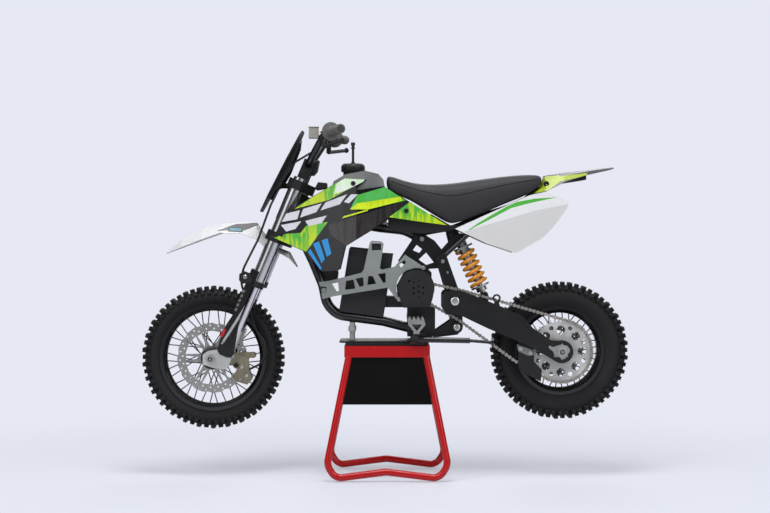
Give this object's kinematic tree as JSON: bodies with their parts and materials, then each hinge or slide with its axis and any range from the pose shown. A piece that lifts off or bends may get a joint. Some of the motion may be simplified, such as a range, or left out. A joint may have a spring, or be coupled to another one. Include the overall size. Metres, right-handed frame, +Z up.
{
  "type": "child-sized electric dirt bike on a paddock stand",
  "caption": "Small electric off-road motorcycle with knobbly tyres, spoked wheels, raked fork, long seat and side battery, parked on a red tubular paddock stand.",
  "frame": {"origin": "floor point at the centre of the overall box", "axes": "+X toward the rear of the bike, -Y the bike's left side with the chain, +Z up"},
  "size_m": [1.532, 0.6028, 1.0994],
  "materials": {
    "tyre_rubber": "matt",
    "black_metal": "satin",
    "bare_steel": "brushed",
    "alloy": "satin",
    "bright_tube": "polished",
    "grey_paint": "satin",
    "red_paint": "gloss",
    "amber_paint": "gloss",
    "white_plastic": "gloss",
    "green_plastic": "gloss",
    "black_plastic": "matt",
    "grey_plastic": "satin",
    "grip_rubber": "matt",
    "seat_cover": "matt"
  },
  "bodies": {
    "chassis": {"paddock_stand": "red_paint", "stand_mat": "grip_rubber", "stand_panels": "black_plastic", "main_frame": "black_metal", "subframe": "black_metal", "skid_plate": "black_metal", "foot_pegs": "bare_steel", "battery_pack": "grey_plastic", "motor": "black_metal", "motor_cover": "black_plastic", "motor_bracket": "grey_paint", "controller_box": "black_plastic", "seat": "seat_cover", "tank": "grey_plastic", "tank_cap": "black_plastic", "shroud_left": "green_plastic", "shroud_right": "green_plastic", "side_panel_left": "white_plastic", "side_panel_right": "white_plastic", "rear_fender": "grey_plastic", "swingarm": "black_metal", "shock_absorber": "grey_paint", "shock_spring": "amber_paint", "drive_chain": "bare_steel", "chain_guide": "black_plastic", "chain_roller": "black_plastic", "chain_adjusters": "alloy", "rear_axle": "bare_steel", "rear_caliper": "alloy", "side_stand_lug": "black_metal", "frame_lattice": "black_metal", "seat_base": "black_plastic"},
    "steering": {"steering_stem": "bare_steel", "upper_yoke": "black_metal", "lower_yoke": "black_metal", "fork_tubes": "black_metal", "fork_stanchions": "bright_tube", "fork_lugs": "alloy", "fork_guards": "white_plastic", "handlebar": "black_metal", "bar_clamp": "black_metal", "grips": "grip_rubber", "brake_levers": "black_metal", "front_axle": "bare_steel", "front_fender": "white_plastic", "number_plate": "black_plastic", "front_caliper": "alloy", "front_brake_hose": "grip_rubber"},
    "front_wheel": {"front_tyre": "tyre_rubber", "front_rim": "black_metal", "front_hub": "black_metal", "front_disc": "bare_steel"},
    "rear_wheel": {"rear_tyre": "tyre_rubber", "rear_rim": "black_metal", "rear_hub": "black_metal", "rear_disc": "bare_steel", "rear_sprocket": "bare_steel"},
    "kick_stand": {"side_stand": "black_metal"}
  },
  "joints": [
    {"name": "steer", "type": "hinge", "parent": "chassis", "child": "steering", "pos_m": [-0.376, 0, 0.591], "axis": [0.3827, 0, 0.9239], "range_deg": [-35, 35]},
    {"name": "front_wheel_spin", "type": "hinge", "parent": "steering", "child": "front_wheel", "pos_m": [-0.541, 0, 0.373], "axis": [0, 1, 0], "continuous": true},
    {"name": "rear_wheel_spin", "type": "hinge", "parent": "chassis", "child": "rear_wheel", "pos_m": [0.549, 0, 0.395], "axis": [0, 1, 0], "continuous": true},
    {"name": "side_stand_swing", "type": "hinge", "parent": "chassis", "child": "kick_stand", "pos_m": [0.092, -0.134, 0.434], "axis": [0, 0.9397, -0.342], "range_deg": [0, 90]}
  ]
}
